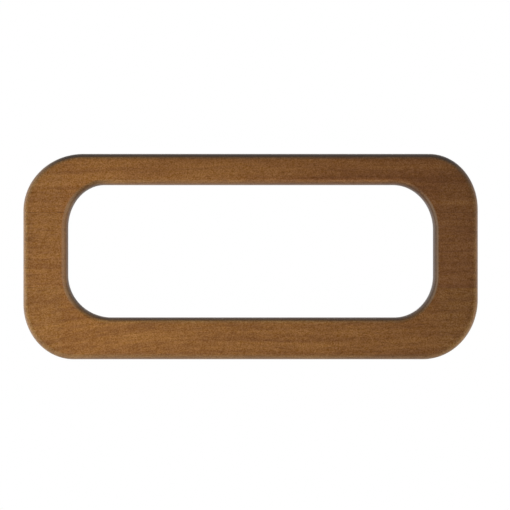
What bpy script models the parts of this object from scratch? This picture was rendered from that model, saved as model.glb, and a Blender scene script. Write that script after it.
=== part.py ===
import math

import bmesh
import bpy
from mathutils import Vector

# The loop stands upright as it is fixed: X along its length, Z up, the front looks along -Y.
# The origin is on the back, in the middle of the base rail. All sizes are in metres.
LENGTH = 0.332
HEIGHT = 0.150
THICKNESS = 0.020
END_WIDTH = 0.0324
BASE_WIDTH = 0.0304
GRIP_WIDTH = 0.0226
OUTER_RADIUS = 0.039
OPENING_RADIUS = 0.031
EDGE_WIDTH = 0.0042  # oval round on every long edge: its width on the faces
EDGE_DEPTH = 0.0078  # and its depth on the sides

# Glue joints between the two long rails and the two short end blocks.
JOINT_HEIGHTS = {"lower": 0.0372, "upper": 0.0919}
PIECE_GAP = 0.0003  # glue line, and room around each pin and sleeve

# Fluted dowels, two across each glue joint.
DOWEL_LENGTH = 0.030
DOWEL_RADIUS = 0.004
DOWEL_FLUTE = 0.0003
DOWEL_CHAMFER = 0.0009
DOWEL_EDGE = 0.0092  # from the outer side of the end to the outer dowel
DOWEL_SPACING = 0.014
DOWEL_END_ROOM = 0.0005

# Brass sleeves with an M6 thread inside and a hexagon socket in the outer end.
INSERT_LENGTH = 0.012
INSERT_RADIUS = 0.005
INSERT_ROOT_RADIUS = 0.0043
INSERT_BORE_RADIUS = 0.0025
INSERT_HEX_HALF_WIDTH = 0.003
INSERT_HEX_DEPTH = 0.0035
INSERT_COLLAR = 0.0016
INSERT_CHAMFER = 0.0004
INSERT_RIDGES = 4
INSERT_ROOT_SHARE = 0.4  # where the root and the crest lie along one ridge
INSERT_CREST_SHARE = 0.9
INSERT_RECESS = 0.0004
SEAT_END_ROOM = 0.0016
SEAT_RUN_OUT = 0.002
CORNER_INSERT_X = 0.136
UPPER_INSERT_Z = 0.118
LOWER_INSERT_Z = 0.008
BASE_INSERT_X = 0.045

# Fineness of the curves.
CORNER_STEPS = 14
EDGE_STEPS = 6
ROUND_STEPS = 24
SHARP_ANGLE = math.radians(30)

# Heights and half lengths that follow from the sizes above.
BASE_BOTTOM = -BASE_WIDTH / 2
GRIP_TOP = BASE_BOTTOM + HEIGHT
OPENING_BOTTOM = BASE_BOTTOM + BASE_WIDTH
OPENING_TOP = GRIP_TOP - GRIP_WIDTH
HALF_LENGTH = LENGTH / 2
HALF_OPENING = HALF_LENGTH - END_WIDTH
SIDES = {"left": -1, "right": 1}

# Colour, roughness and metallic value of each finish.
FINISHES = {
    "grip_wood": ((0.205, 0.089, 0.030), 0.48, 0.0),
    "base_wood": ((0.222, 0.098, 0.033), 0.48, 0.0),
    "left_end_wood": ((0.214, 0.094, 0.032), 0.48, 0.0),
    "right_end_wood": ((0.198, 0.086, 0.030), 0.48, 0.0),
    "dowel_wood": ((0.520, 0.350, 0.190), 0.70, 0.0),
    "brass": ((0.640, 0.430, 0.150), 0.34, 1.0),
}


def clear_scene():
    for item in list(bpy.data.objects):
        bpy.data.objects.remove(item, do_unlink=True)


def make_finish(name):
    colour, roughness, metallic = FINISHES[name]
    finish = bpy.data.materials.new(name)
    finish.use_nodes = True
    shader = finish.node_tree.nodes["Principled BSDF"]
    shader.inputs["Base Color"].default_value = (*colour, 1.0)
    shader.inputs["Roughness"].default_value = roughness
    shader.inputs["Metallic"].default_value = metallic
    return finish


def loft(loops, closed):
    # Skin over loops of equal length; a closed loft joins the last loop to the first.
    shape = bmesh.new()
    rings = [[shape.verts.new(point) for point in loop] for loop in loops]
    pairs = list(zip(rings, rings[1:]))
    if closed:
        pairs.append((rings[-1], rings[0]))
    else:
        shape.faces.new(rings[0])
        shape.faces.new(rings[-1])
    for near, far in pairs:
        for index in range(len(near)):
            after = (index + 1) % len(near)
            shape.faces.new((near[index], near[after], far[after], far[index]))
    bmesh.ops.recalc_face_normals(shape, faces=shape.faces[:])
    return shape


def finish_mesh(name, shape):
    mesh = bpy.data.meshes.new(name)
    shape.to_mesh(mesh)
    shape.free()
    mesh.shade_smooth()
    mesh.set_sharp_from_angle(angle=SHARP_ANGLE)
    return mesh


def add_object(name, mesh, parent):
    item = bpy.data.objects.new(name, mesh)
    bpy.context.scene.collection.objects.link(item)
    item.parent = parent
    return item


def rounded_outline(half_length, bottom, top, radius, depth):
    # Rounded rectangle in the loop's plane, as one arc at each corner.
    near = half_length - radius
    centres = (
        (near, top - radius),
        (-near, top - radius),
        (-near, bottom + radius),
        (near, bottom + radius),
    )
    points = []
    for quarter, (centre_x, centre_z) in enumerate(centres):
        for step in range(CORNER_STEPS + 1):
            angle = math.pi / 2 * (quarter + step / CORNER_STEPS)
            x = centre_x + radius * math.cos(angle)
            z = centre_z + radius * math.sin(angle)
            points.append((x, depth, z))
    return points


def edge_profile():
    # Depth and inset of each outline, from the front face round both edges to the back face.
    # The oval is stepped so that the surface turns by the same angle at every step.
    rounded = []
    for step in range(EDGE_STEPS + 1):
        turn = math.pi / 2 * step / EDGE_STEPS
        angle = math.atan2(EDGE_WIDTH * math.sin(turn), EDGE_DEPTH * math.cos(turn))
        rounded.append((EDGE_DEPTH * (1 - math.cos(angle)), EDGE_WIDTH * (1 - math.sin(angle))))
    front = [(fall - THICKNESS, inset) for fall, inset in rounded]
    back = [(-fall, inset) for fall, inset in reversed(rounded)]
    return front + back


def whole_loop():
    outside = []
    inside = []
    for depth, inset in edge_profile():
        outside.append(rounded_outline(
            HALF_LENGTH - inset, BASE_BOTTOM + inset, GRIP_TOP - inset,
            OUTER_RADIUS - inset, depth))
        inside.append(rounded_outline(
            HALF_OPENING + inset, OPENING_BOTTOM - inset, OPENING_TOP + inset,
            OPENING_RADIUS + inset, depth))
    return loft(outside + inside[::-1], closed=True)


def cut_away(shape, point, normal):
    # Remove what lies beyond a plane and close the cut.
    everything = shape.verts[:] + shape.edges[:] + shape.faces[:]
    cut = bmesh.ops.bisect_plane(
        shape, geom=everything, plane_co=point, plane_no=normal, clear_outer=True)
    rim = [part for part in cut["geom_cut"] if isinstance(part, bmesh.types.BMEdge)]
    if rim:
        bmesh.ops.holes_fill(shape, edges=rim, sides=0)


def rail_mesh(name, joint, direction):
    # A long rail is all of the loop on one side of a joint height.
    shape = whole_loop()
    level = JOINT_HEIGHTS[joint] + direction * PIECE_GAP / 2
    cut_away(shape, Vector((0, 0, level)), Vector((0, 0, -direction)))
    return finish_mesh(name, shape)


def end_block_mesh(name, side):
    # An end block is what lies between the two joint heights, on one side of the opening.
    shape = whole_loop()
    for joint, direction in (("lower", 1), ("upper", -1)):
        level = JOINT_HEIGHTS[joint] + direction * PIECE_GAP / 2
        cut_away(shape, Vector((0, 0, level)), Vector((0, 0, -direction)))
    cut_away(shape, Vector((0, 0, 0)), Vector((-side, 0, 0)))
    return finish_mesh(name, shape)


def round_loop(radius, level, flute=0.0):
    # Circle across the Z axis; with a flute every second point lies deeper.
    points = []
    for step in range(ROUND_STEPS):
        angle = 2 * math.pi * step / ROUND_STEPS
        reach = radius - flute * (step % 2)
        points.append((reach * math.cos(angle), reach * math.sin(angle), level))
    return points


def hex_loop(half_width, level):
    points = []
    sector = math.pi / 3
    for step in range(ROUND_STEPS):
        angle = 2 * math.pi * step / ROUND_STEPS
        from_flat = angle % sector - sector / 2
        reach = half_width / math.cos(from_flat)
        points.append((reach * math.cos(angle), reach * math.sin(angle), level))
    return points


def dowel_mesh():
    tip = DOWEL_LENGTH / 2
    shoulder = tip - DOWEL_CHAMFER
    tip_radius = DOWEL_RADIUS - DOWEL_CHAMFER
    loops = (
        round_loop(tip_radius, -tip, DOWEL_FLUTE),
        round_loop(DOWEL_RADIUS, -shoulder, DOWEL_FLUTE),
        round_loop(DOWEL_RADIUS, shoulder, DOWEL_FLUTE),
        round_loop(tip_radius, tip, DOWEL_FLUTE),
    )
    return finish_mesh("dowel", loft(loops, closed=False))


def insert_mesh():
    # The outer end is at Z = 0, the sleeve runs down from there.
    loops = [
        round_loop(INSERT_RADIUS - INSERT_CHAMFER, 0),
        round_loop(INSERT_RADIUS, -INSERT_CHAMFER),
        round_loop(INSERT_RADIUS, -INSERT_COLLAR),
    ]
    pitch = (INSERT_LENGTH - INSERT_COLLAR) / INSERT_RIDGES
    for ridge in range(INSERT_RIDGES):
        root = -INSERT_COLLAR - pitch * (ridge + INSERT_ROOT_SHARE)
        loops.append(round_loop(INSERT_ROOT_RADIUS, root))
        if ridge < INSERT_RIDGES - 1:
            crest = -INSERT_COLLAR - pitch * (ridge + INSERT_CREST_SHARE)
            loops.append(round_loop(INSERT_RADIUS, crest))
    loops.append(round_loop(INSERT_ROOT_RADIUS - INSERT_CHAMFER, -INSERT_LENGTH))
    loops.append(round_loop(INSERT_BORE_RADIUS, -INSERT_LENGTH))
    loops.append(round_loop(INSERT_BORE_RADIUS, -INSERT_HEX_DEPTH))
    loops.append(hex_loop(INSERT_HEX_HALF_WIDTH, -INSERT_HEX_DEPTH))
    loops.append(hex_loop(INSERT_HEX_HALF_WIDTH, 0))
    return finish_mesh("insert", loft(loops, closed=True))


def add_bore(name, radius, bottom, top, parent):
    # A round cutter along its own Z axis.
    shape = loft((round_loop(radius, bottom), round_loop(radius, top)), closed=False)
    bore = add_object(name, finish_mesh(name, shape), parent)
    bore.hide_render = True
    bore.display_type = "WIRE"
    return bore


def cut_bore(piece, bore):
    cut = piece.modifiers.new(bore.name, "BOOLEAN")
    cut.operation = "DIFFERENCE"
    cut.solver = "EXACT"
    cut.object = bore


def add_dowels(parent, finish, rails, blocks):
    mesh = dowel_mesh()
    mesh.materials.append(finish)
    reach = DOWEL_LENGTH / 2 + DOWEL_END_ROOM
    for side_name, side in SIDES.items():
        for joint, level in JOINT_HEIGHTS.items():
            for row, place in enumerate(("outer", "inner")):
                name = f"dowel_{side_name}_{joint}_{place}"
                across = side * (HALF_LENGTH - DOWEL_EDGE - row * DOWEL_SPACING)
                spot = Vector((across, -THICKNESS / 2, level))
                dowel = add_object(name, mesh, parent)
                dowel.location = spot
                bore = add_bore(f"bore_{name}", DOWEL_RADIUS + PIECE_GAP, -reach, reach, parent)
                bore.location = spot
                cut_bore(rails[joint], bore)
                cut_bore(blocks[side_name], bore)


def add_inserts(parent, finish, rails):
    mesh = insert_mesh()
    mesh.materials.append(finish)
    seat_end = -INSERT_LENGTH - SEAT_END_ROOM
    rows = (
        ("upper", "upper", CORNER_INSERT_X, UPPER_INSERT_Z),
        ("lower", "lower", CORNER_INSERT_X, LOWER_INSERT_Z),
        ("base", "lower", BASE_INSERT_X, 0.0),
    )
    out_of_the_back = (-math.pi / 2, 0, 0)
    for side_name, side in SIDES.items():
        for row, joint, across, level in rows:
            name = f"insert_{side_name}_{row}"
            spot = Vector((side * across, -INSERT_RECESS, level))
            insert = add_object(name, mesh, parent)
            insert.location = spot
            insert.rotation_euler = out_of_the_back
            seat = add_bore(
                f"seat_{name}", INSERT_RADIUS + PIECE_GAP, seat_end, SEAT_RUN_OUT, parent)
            seat.location = spot
            seat.rotation_euler = out_of_the_back
            cut_bore(rails[joint], seat)


def add_wood(name, mesh, finish_name, parent):
    mesh.materials.append(make_finish(finish_name))
    return add_object(name, mesh, parent)


def build():
    clear_scene()
    frame = bpy.data.objects.new("grab_rail", None)
    bpy.context.scene.collection.objects.link(frame)
    rails = {
        "upper": add_wood("grip_rail", rail_mesh("grip_rail", "upper", 1), "grip_wood", frame),
        "lower": add_wood("base_rail", rail_mesh("base_rail", "lower", -1), "base_wood", frame),
    }
    blocks = {}
    for side_name, side in SIDES.items():
        name = f"{side_name}_end_block"
        blocks[side_name] = add_wood(
            name, end_block_mesh(name, side), f"{side_name}_end_wood", frame)
    add_dowels(frame, make_finish("dowel_wood"), rails, blocks)
    add_inserts(frame, make_finish("brass"), rails)


build()
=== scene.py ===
import math

import bmesh
import bpy
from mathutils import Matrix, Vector


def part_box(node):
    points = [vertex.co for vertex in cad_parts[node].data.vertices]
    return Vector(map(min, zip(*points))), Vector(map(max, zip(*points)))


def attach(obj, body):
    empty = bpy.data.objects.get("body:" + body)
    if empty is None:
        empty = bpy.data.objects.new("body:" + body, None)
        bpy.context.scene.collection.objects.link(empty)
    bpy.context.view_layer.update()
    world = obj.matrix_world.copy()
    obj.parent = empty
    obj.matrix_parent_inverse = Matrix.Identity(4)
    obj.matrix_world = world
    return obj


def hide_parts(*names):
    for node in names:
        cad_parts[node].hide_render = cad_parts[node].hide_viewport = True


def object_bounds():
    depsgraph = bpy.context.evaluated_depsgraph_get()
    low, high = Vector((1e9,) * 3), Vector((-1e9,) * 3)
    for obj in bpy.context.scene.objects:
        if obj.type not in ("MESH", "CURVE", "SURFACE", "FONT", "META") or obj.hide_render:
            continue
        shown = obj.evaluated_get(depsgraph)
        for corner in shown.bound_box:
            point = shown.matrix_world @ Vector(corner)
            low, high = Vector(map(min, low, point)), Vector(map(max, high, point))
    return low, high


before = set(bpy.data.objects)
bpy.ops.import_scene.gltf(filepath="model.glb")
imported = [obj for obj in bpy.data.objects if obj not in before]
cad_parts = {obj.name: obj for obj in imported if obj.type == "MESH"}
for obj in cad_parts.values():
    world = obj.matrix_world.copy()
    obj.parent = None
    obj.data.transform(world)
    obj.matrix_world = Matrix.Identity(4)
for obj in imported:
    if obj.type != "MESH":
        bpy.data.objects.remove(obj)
cadLow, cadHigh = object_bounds()
print("frame:", len(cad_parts), "nodes,", [round(v * 1000, 1) for v in cadHigh - cadLow], "mm")


# the wooden loop, metres; its overall size is the frame's own
loopShape = {
    "endWidth": 0.0326,
    "baseWidth": 0.0305,
    "gripWidth": 0.02275,
    # hand-shaped corners, reach along X and Z: right top, left top, left bottom, right bottom
    "outerCorners": ((0.0355, 0.0405), (0.0436, 0.0416), (0.0366, 0.0405), (0.0401, 0.0438)),
    "openingCorners": ((0.0294, 0.0328), (0.0266, 0.0310), (0.0319, 0.0308), (0.0283, 0.0305)),
    "edgeWidth": 0.0042,  # oval round of every long edge, on the faces
    "edgeDepth": 0.0078,  # and down the sides
    "levelStrip": 0.0005,  # strip beside each round that keeps the flat faces level in the shading
    "glueLine": 0.00006,
    "cornerSteps": 40,
    "edgeSteps": 12,
    "sharpAngle": 32,
}


def roundedLoop(halfLength, bottom, top, corners, depth):
    sides = ((halfLength, top, 1, 1), (-halfLength, top, -1, 1),
             (-halfLength, bottom, -1, -1), (halfLength, bottom, 1, -1))
    points = []
    for quarter, (sideX, sideZ, signX, signZ) in enumerate(sides):
        reachX, reachZ = corners[quarter]
        for step in range(loopShape["cornerSteps"] + 1):
            angle = math.pi / 2 * (quarter + step / loopShape["cornerSteps"])
            points.append((sideX - signX * reachX + reachX * math.cos(angle), depth,
                           sideZ - signZ * reachZ + reachZ * math.sin(angle)))
    return points


def grown(corners, amount):
    return [(reachX + amount, reachZ + amount) for reachX, reachZ in corners]


def sideProfile():
    # depth and inset of each loop, from the front face round both oval edges to the back face
    width, depth, strip = loopShape["edgeWidth"], loopShape["edgeDepth"], loopShape["levelStrip"]
    steps = [(0.0, width + strip)]
    for step in range(loopShape["edgeSteps"] + 1):
        turn = math.pi / 2 * step / loopShape["edgeSteps"]
        angle = math.atan2(width * math.sin(turn), depth * math.cos(turn))
        steps.append((depth * (1 - math.cos(angle)), width * (1 - math.sin(angle))))
    steps.append((depth + strip, 0.0))
    front = [(cadLow.y + fall, inset) for fall, inset in steps]
    back = [(cadHigh.y - fall, inset) for fall, inset in reversed(steps)]
    return front + back


def skin(loops, closed=True):
    shape = bmesh.new()
    rings = [[shape.verts.new(point) for point in loop] for loop in loops]
    pairs = list(zip(rings, rings[1:]))
    if closed:
        pairs.append((rings[-1], rings[0]))
    else:
        shape.faces.new(rings[0])
        shape.faces.new(rings[-1])
    for near, far in pairs:
        for index in range(len(near)):
            after = (index + 1) % len(near)
            shape.faces.new((near[index], near[after], far[after], far[index]))
    bmesh.ops.recalc_face_normals(shape, faces=shape.faces[:])
    return shape


def wholeLoop():
    halfOpening = cadHigh.x - loopShape["endWidth"]
    openingBottom = cadLow.z + loopShape["baseWidth"]
    openingTop = cadHigh.z - loopShape["gripWidth"]
    outside, inside = [], []
    for depth, inset in sideProfile():
        outside.append(roundedLoop(cadHigh.x - inset, cadLow.z + inset, cadHigh.z - inset,
                                   grown(loopShape["outerCorners"], -inset), depth))
        inside.append(roundedLoop(halfOpening + inset, openingBottom - inset, openingTop + inset,
                                  grown(loopShape["openingCorners"], inset), depth))
    return skin(outside + inside[::-1])


def cutBeyond(shape, point, normal):
    everything = shape.verts[:] + shape.edges[:] + shape.faces[:]
    cut = bmesh.ops.bisect_plane(shape, geom=everything, plane_co=point, plane_no=normal,
                                 clear_outer=True)
    rim = [part for part in cut["geom_cut"] if isinstance(part, bmesh.types.BMEdge)]
    if rim:
        bmesh.ops.holes_fill(shape, edges=rim, sides=0)


def addPiece(name, shape):
    mesh = bpy.data.meshes.new(name)
    shape.to_mesh(mesh)
    shape.free()
    piece = bpy.data.objects.new(name, mesh)
    bpy.context.scene.collection.objects.link(piece)
    return piece


def smooth(piece, angle):
    piece.data.shade_smooth()
    piece.data.set_sharp_from_angle(angle=math.radians(angle))


def jointHeights():
    # the glue joints lie half way between the frame's rails and end blocks
    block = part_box("left_end_block")
    lower = (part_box("base_rail")[1].z + block[0].z) / 2
    upper = (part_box("grip_rail")[0].z + block[1].z) / 2
    return lower, upper


def buildMembers():
    lower, upper = jointHeights()
    half = loopShape["glueLine"] / 2
    up, down = Vector((0, 0, 1)), Vector((0, 0, -1))
    cuts = {
        "grip_rail": ((upper + half, down, 0),),
        "base_rail": ((lower - half, up, 0),),
        "left_end_block": ((lower + half, down, 0), (upper - half, up, 1)),
        "right_end_block": ((lower + half, down, 0), (upper - half, up, -1)),
    }
    members = {}
    for node, planes in cuts.items():
        shape = wholeLoop()
        for height, away, side in planes:
            cutBeyond(shape, Vector((0, 0, height)), away)
            if side:
                cutBeyond(shape, Vector((0, 0, 0)), Vector((side, 0, 0)))
        members[node] = addPiece(node + "_wood", shape)
    return members


members = buildMembers()
print("wood:", len(members), "members cut from the loop")


# holes for the dowels and seats for the inserts, metres
boreShape = {
    "play": 0.0003,  # glue room around a pin or sleeve
    "dowelEndRoom": 0.0005,
    "seatEndRoom": 0.0016,
    "seatChamfer": 0.0005,
    "runOut": 0.002,
    "steps": 48,
}


def circle(centre, radius, axis, level, steps):
    points = []
    for step in range(steps):
        angle = 2 * math.pi * step / steps
        across, along = radius * math.cos(angle), radius * math.sin(angle)
        if axis == "Z":
            points.append((centre.x + across, centre.y + along, level))
        else:
            points.append((centre.x + across, level, centre.z + along))
    return points


def boreSkin(centre, axis, stations):
    return skin([circle(centre, radius, axis, level, boreShape["steps"])
                 for level, radius in stations], closed=False)


def dowelBore(node):
    low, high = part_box(node)
    radius = (high.x - low.x) / 2 + boreShape["play"]
    room = boreShape["dowelEndRoom"]
    return boreSkin((low + high) / 2, "Z", ((low.z - room, radius), (high.z + room, radius)))


def insertSeat(node):
    low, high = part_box(node)
    radius = (high.x - low.x) / 2 + boreShape["play"]
    chamfer = boreShape["seatChamfer"]
    wide = radius + chamfer
    return boreSkin((low + high) / 2, "Y", (
        (low.y - boreShape["seatEndRoom"], radius), (cadHigh.y - chamfer, radius),
        (cadHigh.y, wide), (cadHigh.y + boreShape["runOut"], wide)))


def cutBores(piece, bores):
    tools = bmesh.new()
    for bore in bores:
        part = bpy.data.meshes.new("bore")
        bore.to_mesh(part)
        bore.free()
        tools.from_mesh(part)
        bpy.data.meshes.remove(part)
    cutter = addPiece("cutter", tools)
    cut = piece.modifiers.new("bores", "BOOLEAN")
    cut.operation = "DIFFERENCE"
    cut.solver = "EXACT"
    cut.object = cutter
    ready = piece.evaluated_get(bpy.context.evaluated_depsgraph_get())
    bored = bpy.data.meshes.new_from_object(ready)
    piece.modifiers.clear()
    piece.data = bored
    bpy.data.objects.remove(cutter, do_unlink=True)


dowels = [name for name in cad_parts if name.startswith("dowel_")]
inserts = [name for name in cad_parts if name.startswith("insert_")]

for node, piece in members.items():
    bores = []
    low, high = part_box(node)
    for name in dowels + inserts:
        pinLow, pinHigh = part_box(name)
        if all(pinHigh[i] > low[i] and pinLow[i] < high[i] for i in range(3)):
            bores.append(dowelBore(name) if name in dowels else insertSeat(name))
    cutBores(piece, bores)
    smooth(piece, loopShape["sharpAngle"])
    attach(piece, "root")
    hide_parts(node)
    print("wood:", piece.name, "with", len(bores), "bores,", len(piece.data.polygons), "faces")


# brass sleeves with a coarse wood thread outside and a machine thread inside, metres
insertShape = {
    "rootRadius": 0.0041,
    "collar": 0.0014,
    "chamfer": 0.0004,
    "woodPitch": 0.0026,
    "woodStations": 9,  # loops along one turn
    "woodRidge": 0.34,  # half width of the ridge, in turns
    "rise": 4,  # loops over which the thread starts
    "fade": 8,  # and ends
    "boreRoot": 0.0030,
    "boreCrest": 0.00255,
    "borePitch": 0.0010,
    "boreStations": 6,
    "boreRidge": 0.5,
    "hexHalfWidth": 0.00303,
    "hexMouth": 0.0033,
    "hexDepth": 0.0035,
    "hexEase": 0.0003,
    "steps": 48,
    "sharpAngle": 34,
}


def threadRidge(level, angle, pitch, width):
    phase = (level / pitch + angle / (2 * math.pi)) % 1.0
    return max(0.0, 1 - abs(phase - 0.5) / width)


def sleeveLoop(centre, level, reach):
    points = []
    for step in range(insertShape["steps"]):
        angle = 2 * math.pi * step / insertShape["steps"]
        radius = reach(angle)
        points.append((centre.x + radius * math.cos(angle), level,
                       centre.z + radius * math.sin(angle)))
    return points


def buildInsert(node):
    low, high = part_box(node)
    centre = (low + high) / 2
    crest = (high.x - low.x) / 2
    root, chamfer = insertShape["rootRadius"], insertShape["chamfer"]
    collarEnd = high.y - insertShape["collar"]
    hexEnd = high.y - insertShape["hexDepth"]
    loops = []

    def plain(level, radius):
        loops.append(sleeveLoop(centre, level, lambda angle: radius))

    def hexagon(level, halfWidth):
        sector = math.pi / 3
        loops.append(sleeveLoop(
            centre, level, lambda angle: halfWidth / math.cos(angle % sector - sector / 2)))

    # outside, from the collar down the wood thread to the tip
    plain(high.y, crest - chamfer)
    plain(high.y - chamfer, crest)
    plain(collarEnd, crest)
    threadRun = collarEnd - low.y
    stations = round(threadRun / insertShape["woodPitch"] * insertShape["woodStations"])
    for station in range(1, stations):
        level = collarEnd - threadRun * station / stations
        ease = min(1.0, station / insertShape["rise"], (stations - station) / insertShape["fade"])
        rise = (crest - root) * ease
        loops.append(sleeveLoop(centre, level, lambda angle: root + rise * threadRidge(
            level, angle, insertShape["woodPitch"], insertShape["woodRidge"])))
    plain(low.y, root - chamfer)

    # inside, up the machine thread to the hexagon socket
    boreRun = hexEnd - low.y
    turns = round(boreRun / insertShape["borePitch"] * insertShape["boreStations"])
    rise = insertShape["boreRoot"] - insertShape["boreCrest"]
    for station in range(turns + 1):
        level = low.y + boreRun * station / turns
        loops.append(sleeveLoop(centre, level, lambda angle: insertShape["boreRoot"] - rise * threadRidge(
            level, angle, insertShape["borePitch"], insertShape["boreRidge"])))
    hexagon(hexEnd, insertShape["hexHalfWidth"])
    hexagon(high.y - insertShape["hexEase"], insertShape["hexHalfWidth"])
    hexagon(high.y, insertShape["hexMouth"])
    piece = addPiece(node + "_sleeve", skin(loops))
    smooth(piece, insertShape["sharpAngle"])
    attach(piece, "root")
    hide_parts(node)
    return piece


sleeves = [buildInsert(node) for node in inserts]
print("brass:", len(sleeves), "threaded sleeves,", len(sleeves[0].data.polygons), "faces each")


# small helpers for the finishes
def newFinish(name):
    finish = bpy.data.materials.new(name)
    finish.use_nodes = True
    tree = finish.node_tree
    return finish, tree, tree.nodes["Principled BSDF"]


def addNode(tree, kind, inputs, **settings):
    made = tree.nodes.new(kind)
    for key, value in settings.items():
        setattr(made, key, value)
    for key, value in inputs.items():
        if isinstance(value, bpy.types.NodeSocket):
            tree.links.new(value, made.inputs[key])
        else:
            made.inputs[key].default_value = value
    return made


def calc(tree, operation, first, second=0.0, third=0.0):
    return addNode(tree, "ShaderNodeMath", {0: first, 1: second, 2: third}, operation=operation).outputs[0]


def spread(tree, value, low, high, toLow=0.0, toHigh=1.0, soft=True):
    kind = "SMOOTHSTEP" if soft else "LINEAR"
    return addNode(tree, "ShaderNodeMapRange", {
        "Value": value, "From Min": low, "From Max": high, "To Min": toLow, "To Max": toHigh,
    }, interpolation_type=kind).outputs["Result"]


def scaled(tree, vector, factors):
    return addNode(tree, "ShaderNodeVectorMath", {0: vector, 1: factors}, operation="MULTIPLY").outputs[0]


def grain(tree, place, size, detail=1.0, rough=0.5, turn=None):
    # cloudy noise whose patches are about size millimetres along, through and across the board
    vector = scaled(tree, place, tuple(1 / s for s in size))
    if turn:
        vector = addNode(tree, "ShaderNodeMapping", {"Vector": vector, "Rotation": turn}).outputs[0]
    return addNode(tree, "ShaderNodeTexNoise", {
        "Vector": vector, "Scale": 1.0, "Detail": detail, "Roughness": rough,
    }, noise_dimensions="3D").outputs["Fac"]


def millimetres(tree, shift):
    coords = addNode(tree, "ShaderNodeTexCoord", {})
    inMillimetres = scaled(tree, coords.outputs["Object"], (1000, 1000, 1000))
    place = addNode(tree, "ShaderNodeVectorMath", {0: inMillimetres, 1: shift}, operation="ADD").outputs[0]
    return inMillimetres, place


def colourRamp(tree, value, stops):
    ramp = addNode(tree, "ShaderNodeValToRGB", {"Fac": value})
    points = ramp.color_ramp.elements
    while len(points) < len(stops):
        points.new(0.5)
    for point, (position, colour) in zip(points, stops):
        point.position = position
        point.color = (*colour, 1.0)
    return ramp.outputs["Color"]


def tint(tree, colour, amount, shade):
    # multiply by a shade where amount is 1
    return addNode(tree, "ShaderNodeMix", {
        "Factor": amount, 6: colour, 7: (*shade, 1.0),
    }, data_type="RGBA", blend_type="MULTIPLY").outputs[2]


def band(tree, value, limits):
    # 1 between the two middle limits, falling to 0 at the first and the last
    return calc(tree, "MULTIPLY", spread(tree, value, limits[0], limits[1]),
                spread(tree, value, limits[3], limits[2]))


def both(tree, first, second):
    return calc(tree, "MULTIPLY", first, second)


def fromLoop(tree, x, z, halfLength, bottom, top, corners):
    # distance in millimetres from a rounded loop, positive outside it
    fromMiddle = calc(tree, "SUBTRACT", z, (bottom + top) / 2)
    onRight = calc(tree, "GREATER_THAN", x, 0.0)
    onTop = calc(tree, "GREATER_THAN", fromMiddle, 0.0)

    def share(distance, half, axis):
        # how far past the start of the corner, in parts of that corner's reach
        reach = [corner[axis] * 1000 for corner in corners]
        upper = calc(tree, "MULTIPLY_ADD", onRight, reach[0] - reach[1], reach[1])
        lower = calc(tree, "MULTIPLY_ADD", onRight, reach[3] - reach[2], reach[2])
        here = calc(tree, "MULTIPLY_ADD", onTop, calc(tree, "SUBTRACT", upper, lower), lower)
        past = calc(tree, "SUBTRACT", calc(tree, "ABSOLUTE", distance), calc(tree, "SUBTRACT", half, here))
        part = calc(tree, "DIVIDE", calc(tree, "MAXIMUM", past, 0.0), here)
        return here, both(tree, part, part)

    reachX, partX = share(x, halfLength, 0)
    reachZ, partZ = share(fromMiddle, (top - bottom) / 2, 1)
    parts = calc(tree, "MAXIMUM", calc(tree, "ADD", partX, partZ), 0.0001)
    weighted = calc(tree, "MULTIPLY_ADD", partX, reachX, both(tree, partZ, reachZ))
    reach = calc(tree, "DIVIDE", weighted, parts)
    return both(tree, calc(tree, "SUBTRACT", calc(tree, "SQRT", parts), 1.0), reach)


# what sets the four boards apart: cut of the grain, how its lines run, tone and stained ends
boardLook = {
    "grip_rail": {
        "slot": "grip_wood", "shift": (-374, 41, -313), "slope": 0.004, "bend": 5,
        "tone": 0.0, "rise": 0.0, "warm": (1.0, 0.985, 1.01), "figure": 1.5,
        "endSoak": 0.5, "wallStrip": 0.35},
    "base_rail": {
        "slot": "base_wood", "shift": (819, 5, -283), "slope": -0.01, "bend": 13,
        "tone": 0.0, "rise": 0.0006, "warm": (1.0, 1.02, 1.0), "figure": 1.0,
        "endSoak": 0.5, "wallStrip": 0.35},
    "left_end_block": {
        "slot": "left_end_wood", "shift": (401, 54, -297), "slope": 0.0, "bend": 2,
        "tone": -0.02, "rise": 0.0, "warm": (1.0, 1.0, 1.01), "figure": 0.6,
        "endSoak": 0.8, "wallStrip": 0.9},
    "right_end_block": {
        "slot": "right_end_wood", "shift": (886, 20, 186), "slope": 0.01, "bend": 0,
        "tone": 0.01, "rise": 0.0, "warm": (1.0, 0.98, 1.03), "figure": 0.8,
        "endSoak": 0.55, "wallStrip": 0.2},
}


def findSpot(tree, board):
    # where a point of the wood lies, in millimetres: in the rail, in the cut of its board, from both rims
    true, place = millimetres(tree, board["shift"])
    axes = addNode(tree, "ShaderNodeSeparateXYZ", {0: true})
    x, z = axes.outputs["X"], axes.outputs["Z"]
    low, high, end = cadLow.z * 1000, cadHigh.z * 1000, cadHigh.x * 1000
    wall = end - loopShape["endWidth"] * 1000
    outline = fromLoop(tree, x, z, end, low, high, loopShape["outerCorners"])
    return {
        "place": place, "x": x, "z": z, "end": end, "wall": wall,
        "outward": calc(tree, "ABSOLUTE", x),
        "toRight": spread(tree, x, -wall, wall, soft=False),
        "inside": calc(tree, "MULTIPLY", outline, -1.0),
        "opening": fromLoop(tree, x, z, wall, low + loopShape["baseWidth"] * 1000,
                            high - loopShape["gripWidth"] * 1000, loopShape["openingCorners"]),
    }


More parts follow.
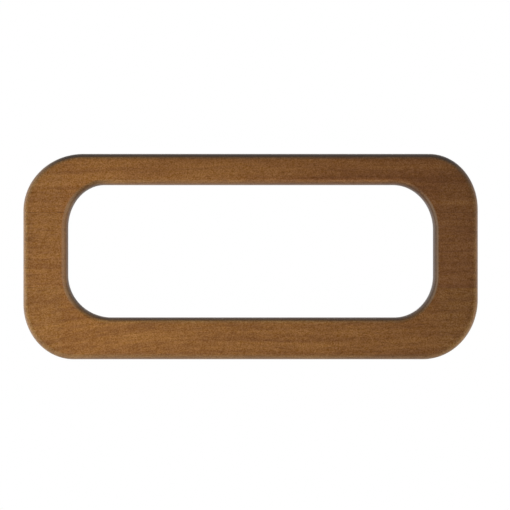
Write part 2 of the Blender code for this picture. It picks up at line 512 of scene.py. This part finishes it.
# stained hardwood under satin oil: sizes in millimetres along, through and across the grain
woodLook = {
    "stops": ((0.00, (0.152, 0.062, 0.0252)), (0.30, (0.237, 0.111, 0.0440)),
              (0.50, (0.297, 0.147, 0.0562)), (0.72, (0.357, 0.185, 0.0698)),
              (1.00, (0.425, 0.232, 0.0870))),
    "swaySize": (120, 50, 55),
    "swayHeight": 9,
    "bendFrom": (-45, -166),  # the lines fall away toward the left end
    "figureSize": (220, 24, 8),
    "figureDepth": 0.44,
    "streakSize": (60, 4, 2.4),
    "streakDepth": 0.58,
    "fibreSize": (5.5, 1.3, 1.25),
    "fibreDepth": 0.44,
    "cloudSize": (45, 40, 18),
    "cloudDepth": 0.26,
    "speckSize": (0.95, 0.9, 0.88),  # fine mottle between the fibres
    "speckTurn": (0.6, 0.4, 0.3),  # radians, so that no face lies along the noise's own grid
    "speckFrom": (0.30, 0.70),
    "speckShade": (0.55, 0.41, 0.07),
    "poreSize": (6.0, 0.7, 0.55),  # open pores, short dark dashes along the grain
    "poreFrom": (0.60, 0.72),
    "poreShade": (0.72, 0.66, 0.62),
    "redden": (0.985, 0.945, 1.05),  # redder wood toward the right
    "reddenFrom": (-60, 150),
    "roughFrom": (0.2, 0.8),
    "roughLow": 0.32,
    "roughHigh": 0.42,
    "specular": 0.5,
    "bumpStrength": 0.35,
    "bumpDepth": 0.00005,
}


def grainLines(tree, spot, board):
    # the grain lines wander and lean a little along the board
    axes = addNode(tree, "ShaderNodeSeparateXYZ", {0: spot["place"]})
    sway = calc(tree, "SUBTRACT", grain(tree, spot["place"], woodLook["swaySize"], 1.5), 0.5)
    lean = calc(tree, "MULTIPLY", axes.outputs["X"], board["slope"])
    bend = spread(tree, spot["x"], *woodLook["bendFrom"], 0.0, board["bend"])
    drift = calc(tree, "ADD", calc(tree, "MULTIPLY_ADD", sway, woodLook["swayHeight"], lean), bend)
    height = calc(tree, "ADD", axes.outputs["Z"], drift)
    return addNode(tree, "ShaderNodeCombineXYZ", {
        "X": axes.outputs["X"], "Y": axes.outputs["Y"], "Z": height}).outputs[0]


def woodTone(tree, spot, lines, board):
    layers = (
        (grain(tree, lines, woodLook["figureSize"], 2.0), woodLook["figureDepth"] * board["figure"]),
        (grain(tree, lines, woodLook["streakSize"], 2.0), woodLook["streakDepth"]),
        (grain(tree, lines, woodLook["fibreSize"], 1.0), woodLook["fibreDepth"]),
        (grain(tree, spot["place"], woodLook["cloudSize"], 1.0), woodLook["cloudDepth"] * board["figure"]),
    )
    tone = calc(tree, "MULTIPLY_ADD", spot["x"], board["rise"], 0.5 + board["tone"])
    for noise, depth in layers:
        tone = calc(tree, "MULTIPLY_ADD", calc(tree, "SUBTRACT", noise, 0.5), depth, tone)
    return tone


def woodColour(tree, spot, tone, pores, board):
    stops = [(at, [part * warm for part, warm in zip(shade, board["warm"])])
             for at, shade in woodLook["stops"]]
    colour = colourRamp(tree, tone, stops)
    specks = grain(tree, spot["place"], woodLook["speckSize"], 1.0, turn=woodLook["speckTurn"])
    specks = spread(tree, specks, *woodLook["speckFrom"], soft=False)
    colour = tint(tree, colour, specks, woodLook["speckShade"])
    colour = tint(tree, colour, pores, woodLook["poreShade"])
    return tint(tree, colour, spread(tree, spot["x"], *woodLook["reddenFrom"]), woodLook["redden"])


# where the stain went in deeper, and painted shade and painted light at the opening's edges, millimetres
stainAndPaintedLightLook = {
    "soakStart": 14,  # drawn into the end grain in streaks
    "soakSize": (26, 3, 1.7),
    "soakFrom": (0.50, 0.66),
    "soakShade": (0.58, 0.52, 0.50),
    "stripFrom": (5.2, 3.6),  # redder strip beside the opening's end walls
    "stripShade": (0.95, 0.84, 0.74),
    "wallFrom": (3.2, 1.6),  # painted shade on the walls of the opening, more on the right
    "wallShade": (0.60, 0.59, 0.58),
    "wallLeft": 0.26,
    "wallUp": (14, 34),  # none on the lower wall
    "wallSide": (92, 120),  # and little on the upper one
    "wallTop": 0.1,
    "cornerFrom": (4.8, 2.4),  # painted shade in the opening's corners, most at the left top
    "cornerShade": (0.52, 0.52, 0.53),
    "cornerSide": (98, 116),
    "cornerHigh": (88, 104),
    "cornerLow": (45, 28),
    "cornerLowShare": 0.4,
    "litEdgeSide": (122, 104),  # painted light along the opening's long edges, kept away from the ends
    "lowerFrom": (1.4, 2.6, 2.9, 4.3),
    "lowerShade": (1.35, 1.35, 1.34),
    "lowerHigh": (26, 17),
    "upperFrom": (1.2, 3.0, 4.0, 5.8),
    "upperShade": (1.30, 1.30, 1.29),
    "upperHigh": (104, 112),
    "upperSide": (-110, 90),  # painted light on the upper edge only toward the right
}


def stainEnds(tree, spot, lines, colour, board):
    look = stainAndPaintedLightLook
    nearEnd = spread(tree, spot["outward"], spot["end"] - look["soakStart"], spot["end"],
                     0.0, board["endSoak"])
    drawnIn = spread(tree, grain(tree, lines, look["soakSize"], 1.5), *look["soakFrom"])
    colour = tint(tree, colour, both(tree, nearEnd, drawnIn), look["soakShade"])
    fromWall = calc(tree, "SUBTRACT", spot["outward"], spot["wall"])
    strip = spread(tree, fromWall, *look["stripFrom"], 0.0, board["wallStrip"])
    return tint(tree, colour, strip, look["stripShade"])


# painted shade on the opening's walls and corners, painted light along its long edges
def paintOpeningShadeAndLight(tree, spot, colour):
    look = stainAndPaintedLightLook
    # painted shade on the opening's walls, strongest at the right end
    sides = spread(tree, spot["toRight"], 0.0, 1.0, look["wallLeft"], 1.0, False)
    ends = spread(tree, spot["outward"], *look["wallSide"], look["wallTop"], 1.0)
    wall = both(tree, both(tree, sides, ends), spread(tree, spot["z"], *look["wallUp"]))
    colour = tint(tree, colour, both(tree, wall, spread(tree, spot["opening"], *look["wallFrom"])),
                  look["wallShade"])
    # painted shade in the opening's corners
    leftTop = both(tree, spread(tree, spot["z"], *look["cornerHigh"]),
                   calc(tree, "LESS_THAN", spot["x"], 0.0))
    bottoms = spread(tree, spot["z"], *look["cornerLow"], 0.0, look["cornerLowShare"])
    corner = both(tree, spread(tree, spot["outward"], *look["cornerSide"]),
                  calc(tree, "MAXIMUM", leftTop, bottoms))
    colour = tint(tree, colour, both(tree, corner, spread(tree, spot["opening"], *look["cornerFrom"])),
                  look["cornerShade"])
    # painted light on the opening's lower edge, and on its upper edge toward the right
    awayFromEnds = spread(tree, spot["outward"], *look["litEdgeSide"])
    lower = both(tree, awayFromEnds, spread(tree, spot["z"], *look["lowerHigh"]))
    colour = tint(tree, colour, both(tree, lower, band(tree, spot["opening"], look["lowerFrom"])),
                  look["lowerShade"])
    upper = both(tree, both(tree, awayFromEnds, spread(tree, spot["z"], *look["upperHigh"])),
                 spread(tree, spot["x"], *look["upperSide"]))
    return tint(tree, colour, both(tree, upper, band(tree, spot["opening"], look["upperFrom"])),
                look["upperShade"])


# painted shade, sheen and glints on the edges, and glue lines, millimetres from the rims
edgeLook = {
    "rimFrom": (2.2, 3.4, 5.0, 9.0),  # darker band just inside the outer round
    "rimShade": (0.94, 0.93, 0.92),
    "lineFrom": (0.8, 1.8, 3.2, 4.4),  # painted shade beside the lit outer edge, below the top
    "lineShade": (0.93, 0.94, 0.95),
    "lineHigh": (125, 105),
    "lowFrom": (1.8, 3.0, 3.5, 4.7),  # painted shade, stronger along the bottom, except at the left
    "lowShade": (0.87, 0.79, 0.73),
    "lowHigh": (-4, -9),
    "lowSide": (-110, -20),
    "topFrom": (0.6, 1.3, 1.9, 2.7),  # painted shade, a dark line on the round along the top
    "topShade": (0.62, 0.60, 0.56),
    "topHigh": (122, 129),
    "roundFrom": (4.4, 3.2),  # painted sheen: the rounds are a little less red
    "roundShade": (0.90, 1.0, 1.0),
    "glintFrom": (1.6, 2.5, 3.9, 4.75),  # painted glint, a pale line along the opening's edge, left and right
    "glintColour": (0.31, 0.22, 0.15),
    "glintNarrow": 0.8,  # how much less wide the line is on the right
    "glintLeft": 0.26,
    "glintRight": 0.54,
    "glintTurn": 10,
    "jointWidth": 0.45,  # thin dark glue lines
    "jointShade": (0.93, 0.91, 0.90),
}


# painted shade, sheen and glints along the edges, and a darker band inside the outer round
def paintEdgeShadeAndGlint(tree, spot, colour):
    look = edgeLook
    colour = tint(tree, colour, band(tree, spot["inside"], look["rimFrom"]), look["rimShade"])
    # painted shade beside the lit outer edge
    line = both(tree, band(tree, spot["inside"], look["lineFrom"]),
                spread(tree, spot["z"], *look["lineHigh"]))
    colour = tint(tree, colour, line, look["lineShade"])
    # painted shade along the bottom outer round
    bottom = both(tree, spread(tree, spot["z"], *look["lowHigh"]),
                  spread(tree, spot["x"], *look["lowSide"]))
    colour = tint(tree, colour, both(tree, band(tree, spot["inside"], look["lowFrom"]), bottom),
                  look["lowShade"])
    # painted shade on the top round
    top = both(tree, band(tree, spot["inside"], look["topFrom"]),
               spread(tree, spot["z"], *look["topHigh"]))
    colour = tint(tree, colour, top, look["topShade"])
    # painted sheen, the rounds a little greyer
    nearEdge = calc(tree, "MINIMUM", spot["inside"], spot["opening"])
    colour = tint(tree, colour, spread(tree, nearEdge, *look["roundFrom"]), look["roundShade"])

    # painted glint, a pale line along the opening's end edges
    atEnds = both(tree, spread(tree, spot["outward"], spot["wall"] - look["glintTurn"], spot["wall"]),
                  spread(tree, spot["toRight"], 0.0, 1.0, look["glintLeft"], look["glintRight"], False))
    narrowed = calc(tree, "MULTIPLY_ADD", spot["toRight"], look["glintNarrow"], spot["opening"])
    glintBand = both(tree, spread(tree, spot["opening"], look["glintFrom"][0], look["glintFrom"][1]),
                  spread(tree, narrowed, look["glintFrom"][3], look["glintFrom"][2]))
    return addNode(tree, "ShaderNodeMix", {
        "Factor": both(tree, glintBand, atEnds), 6: colour, 7: (*look["glintColour"], 1.0),
    }, data_type="RGBA").outputs[2]


def markJoints(tree, spot, colour):
    for joint in jointHeights():
        fromJoint = calc(tree, "ABSOLUTE", calc(tree, "SUBTRACT", spot["z"], joint * 1000))
        colour = tint(tree, colour, spread(tree, fromJoint, edgeLook["jointWidth"], 0.0),
                      edgeLook["jointShade"])
    return colour


def woodFinish(board):
    finish, tree, shader = newFinish(board["slot"])
    spot = findSpot(tree, board)
    lines = grainLines(tree, spot, board)
    tone = woodTone(tree, spot, lines, board)
    pores = spread(tree, grain(tree, lines, woodLook["poreSize"], 1.0), *woodLook["poreFrom"])
    colour = woodColour(tree, spot, tone, pores, board)
    colour = stainEnds(tree, spot, lines, colour, board)
    colour = paintOpeningShadeAndLight(tree, spot, colour)
    colour = paintEdgeShadeAndGlint(tree, spot, colour)
    colour = markJoints(tree, spot, colour)
    tree.links.new(colour, shader.inputs["Base Color"])

    # oil lies glossier on the dense dark lines
    rough = spread(tree, tone, *woodLook["roughFrom"], woodLook["roughLow"], woodLook["roughHigh"], False)
    tree.links.new(rough, shader.inputs["Roughness"])
    bump = addNode(tree, "ShaderNodeBump", {
        "Strength": woodLook["bumpStrength"], "Distance": woodLook["bumpDepth"],
        "Height": calc(tree, "SUBTRACT", tone, pores)})
    tree.links.new(bump.outputs["Normal"], shader.inputs["Normal"])
    shader.inputs["Specular IOR Level"].default_value = woodLook["specular"]
    return finish


for node, board in boardLook.items():
    members[node].data.materials.clear()
    members[node].data.materials.append(woodFinish(board))
print("finish: four stained boards")


# raw turned beech, millimetres along Z
beechLook = {
    "stops": ((0.25, (0.40, 0.245, 0.120)), (0.55, (0.52, 0.345, 0.185)), (0.85, (0.60, 0.425, 0.250))),
    "grainSize": (0.9, 0.9, 12),
    "fleckSize": (0.35, 0.35, 1.6),
    "fleckFrom": (0.58, 0.70),
    "fleckShade": (0.72, 0.62, 0.52),
    "roughFrom": (0.3, 0.7),
    "roughLow": 0.62,
    "roughHigh": 0.80,
    "bumpStrength": 0.4,
    "bumpDepth": 0.00005,
}


def beechFinish():
    look = beechLook
    finish, tree, shader = newFinish("dowel_beech")
    place = millimetres(tree, (0, 0, 0))[1]
    long = grain(tree, place, look["grainSize"], 2.0)
    fleck = spread(tree, grain(tree, place, look["fleckSize"], 1.0), *look["fleckFrom"])
    colour = tint(tree, colourRamp(tree, long, look["stops"]), fleck, look["fleckShade"])
    tree.links.new(colour, shader.inputs["Base Color"])
    rough = spread(tree, long, *look["roughFrom"], look["roughLow"], look["roughHigh"], False)
    tree.links.new(rough, shader.inputs["Roughness"])
    bump = addNode(tree, "ShaderNodeBump", {
        "Strength": look["bumpStrength"], "Distance": look["bumpDepth"],
        "Height": calc(tree, "SUBTRACT", long, fleck)})
    tree.links.new(bump.outputs["Normal"], shader.inputs["Normal"])
    return finish


# turned brass, a little dulled, millimetres
brassLook = {
    "stops": ((0.35, (0.46, 0.29, 0.10)), (0.62, (0.72, 0.50, 0.19))),
    "cloudSize": (2.6, 2.6, 2.6),
    "turningSize": (9, 0.10, 9),
    "roughFrom": (0.35, 0.65),
    "roughLow": 0.20,
    "roughHigh": 0.42,
    "bumpStrength": 0.25,
    "bumpDepth": 0.00002,
}


def brassFinish():
    look = brassLook
    finish, tree, shader = newFinish("insert_brass")
    place = millimetres(tree, (0, 0, 0))[1]
    cloud = grain(tree, place, look["cloudSize"], 3.0)
    turning = grain(tree, place, look["turningSize"], 1.0)
    tree.links.new(colourRamp(tree, cloud, look["stops"]), shader.inputs["Base Color"])
    rough = spread(tree, cloud, *look["roughFrom"], look["roughHigh"], look["roughLow"], False)
    tree.links.new(rough, shader.inputs["Roughness"])
    bump = addNode(tree, "ShaderNodeBump", {
        "Strength": look["bumpStrength"], "Distance": look["bumpDepth"], "Height": turning})
    tree.links.new(bump.outputs["Normal"], shader.inputs["Normal"])
    shader.inputs["Metallic"].default_value = 1.0
    return finish


beech = beechFinish()
for name in dowels:
    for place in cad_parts[name].material_slots:
        place.material = beech
brass = brassFinish()
for piece in sleeves:
    piece.data.materials.append(brass)
print("finish: beech dowels and brass sleeves")


# the view: edges of the rail in the 510 pixel image, and how far the camera stands from the front
viewPlan = {
    "imageSize": 510,
    "leftEdge": 23.4,
    "rightEdge": 477.8,
    "topEdge": 154.2,
    "bottomEdge": 359.0,
    "distance": 3.0,
    "sensor": 36.0,
}


def addCamera():
    perPixel = (cadHigh.x - cadLow.x) / (viewPlan["rightEdge"] - viewPlan["leftEdge"])
    middle = viewPlan["imageSize"] / 2
    right = (middle - (viewPlan["leftEdge"] + viewPlan["rightEdge"]) / 2) * perPixel
    above = ((viewPlan["topEdge"] + viewPlan["bottomEdge"]) / 2 - middle) * perPixel
    toOutline = viewPlan["distance"] + loopShape["edgeDepth"]
    data = bpy.data.cameras.new("camera")
    data.sensor_width = viewPlan["sensor"]
    data.lens = viewPlan["sensor"] * toOutline / (perPixel * viewPlan["imageSize"])
    camera = bpy.data.objects.new("camera", data)
    camera.location = ((cadLow.x + cadHigh.x) / 2 + right, cadLow.y - viewPlan["distance"],
                       (cadLow.z + cadHigh.z) / 2 + above)
    camera.rotation_euler = (math.pi / 2, 0, 0)
    bpy.context.scene.collection.objects.link(camera)
    bpy.context.scene.camera = camera


# soft lamps, metres and watts: the main one low in front and turned well to the left, so that its
# light fades to the right, a small one close beside each end, and one high behind for back and top
lampPlan = {
    "soft_box": {
        "place": (-0.06, -0.61, -0.23), "aim": (-0.93, 0, 0.06), "size": 0.25, "power": 7.55},
    "left_fill": {
        "place": (-0.42, -0.01, 0.045), "aim": (-0.166, -0.01, 0.05), "size": 0.05, "power": 0.94},
    "right_fill": {
        "place": (0.42, -0.01, -0.03), "aim": (0.166, -0.01, 0.05), "size": 0.05, "power": 0.68},
    "back_fill": {
        "place": (0.0, 0.85, 0.38), "aim": (0, 0, 0.06), "size": 0.40, "power": 6.8},
}


def addLamps():
    for name, plan in lampPlan.items():
        data = bpy.data.lights.new(name, "AREA")
        data.shape = "SQUARE"
        data.size = plan["size"]
        data.energy = plan["power"]
        lamp = bpy.data.objects.new(name, data)
        lamp.location = plan["place"]
        toAim = Vector(plan["aim"]) - lamp.location
        lamp.rotation_euler = toAim.to_track_quat("-Z", "Y").to_euler()
        lamp.visible_glossy = False  # filtered, so the satin oil doesn't mirror it
        lamp.visible_camera = False
        bpy.context.scene.collection.objects.link(lamp)


# white studio: a bright backdrop, dimmer walls beside the rail and a dark room behind the camera
worldPlan = {
    "backdrop": 0.58,
    "backdropSides": 0.95,
    "backdropAcross": (0.2, 0.8),  # these ranges are parts of a direction of length 1
    "behind": (0.05, 0.45),
    "walls": 0.30,
    "frontDark": 0.12,
    "front": (-0.60, -0.92),
    "toLeft": 0.30,  # how much brighter the left half is
    "toFloor": 0.25,  # and the lower half
    "ceiling": 0.34,  # pale ceiling that the satin oil mirrors
    "ceilingUp": (0.10, 0.75),
    "ceilingAhead": (0.50, 0.10),
    "wallLight": 0.28,  # share of the rest that falls on the rail as plain light
}


def addWorld():
    world = bpy.data.worlds.new("studio")
    bpy.context.scene.world = world
    world.use_nodes = True
    tree = world.node_tree
    background = tree.nodes["Background"]
    coords = addNode(tree, "ShaderNodeTexCoord", {})
    way = addNode(tree, "ShaderNodeSeparateXYZ", {0: coords.outputs["Generated"]})
    across = calc(tree, "ABSOLUTE", way.outputs["X"])
    backdrop = spread(tree, across, *worldPlan["backdropAcross"],
                      worldPlan["backdrop"], worldPlan["backdropSides"])
    behind = spread(tree, way.outputs["Y"], *worldPlan["behind"])
    front = spread(tree, way.outputs["Y"], *worldPlan["front"], worldPlan["walls"], worldPlan["frontDark"])
    level = addNode(tree, "ShaderNodeMix", {"Factor": behind, 2: front, 3: backdrop}).outputs[0]
    leftward = calc(tree, "MULTIPLY_ADD", way.outputs["X"], -worldPlan["toLeft"], 1.0)
    downward = calc(tree, "MULTIPLY_ADD", way.outputs["Z"], -worldPlan["toFloor"], 1.0)
    level = calc(tree, "MULTIPLY", level, calc(tree, "MULTIPLY", leftward, downward))
    path = addNode(tree, "ShaderNodeLightPath", {})
    mirrored = calc(tree, "MAXIMUM", path.outputs["Is Glossy Ray"], path.outputs["Is Transmission Ray"])
    share = spread(tree, mirrored, 0.0, 1.0, worldPlan["wallLight"], 1.0, False)
    above = spread(tree, way.outputs["Z"], *worldPlan["ceilingUp"], 0.0, worldPlan["ceiling"])
    ahead = spread(tree, way.outputs["Y"], *worldPlan["ceilingAhead"])
    ceiling = calc(tree, "MULTIPLY", calc(tree, "MULTIPLY", above, ahead), mirrored)
    level = calc(tree, "MULTIPLY_ADD", level, share, ceiling)
    strength = calc(tree, "MAXIMUM", level, path.outputs["Is Camera Ray"])
    background.inputs["Color"].default_value = (1, 1, 1, 1)
    tree.links.new(strength, background.inputs["Strength"])


# pale floor well below the rail, metres; it fades into the white at its rim
floorPlan = {
    "height": -0.62,
    "radius": 1.6,
    "steps": 96,
    "colour": (0.80, 0.80, 0.80),
    "roughness": 0.9,
    "whiteShare": 0.72,
    "mirroredShare": 0.12,
    "fadeFrom": 0.7,
}


def addFloor():
    shape = bmesh.new()
    bmesh.ops.create_circle(shape, cap_ends=True, segments=floorPlan["steps"], radius=floorPlan["radius"])
    floor = addPiece("floor", shape)
    floor.location.z = floorPlan["height"]
    finish, tree, shader = newFinish("floor_paint")
    shader.inputs["Base Color"].default_value = (*floorPlan["colour"], 1.0)
    shader.inputs["Roughness"].default_value = floorPlan["roughness"]
    coords = addNode(tree, "ShaderNodeTexCoord", {})
    fromMiddle = addNode(tree, "ShaderNodeVectorMath", {0: coords.outputs["Object"]}, operation="LENGTH")
    path = addNode(tree, "ShaderNodeLightPath", {})
    mirrored = calc(tree, "MAXIMUM", path.outputs["Is Glossy Ray"], path.outputs["Is Transmission Ray"])
    seen = calc(tree, "MAXIMUM", path.outputs["Is Camera Ray"], mirrored)
    atMiddle = spread(tree, mirrored, 0.0, 1.0, floorPlan["whiteShare"], floorPlan["mirroredShare"], False)
    white = spread(tree, fromMiddle.outputs["Value"], floorPlan["fadeFrom"], floorPlan["radius"],
                   atMiddle, 1.0)
    glow = addNode(tree, "ShaderNodeEmission", {"Strength": 1.0})
    mix = addNode(tree, "ShaderNodeMixShader", {
        0: calc(tree, "MULTIPLY", white, seen), 1: shader.outputs["BSDF"], 2: glow.outputs["Emission"]})
    tree.links.new(mix.outputs[0], tree.nodes["Material Output"].inputs["Surface"])
    floor.data.materials.append(finish)


addCamera()
addLamps()
addWorld()
addFloor()
bpy.context.scene.view_settings.view_transform = "Standard"
print("studio: camera, lamps, backdrop and floor")
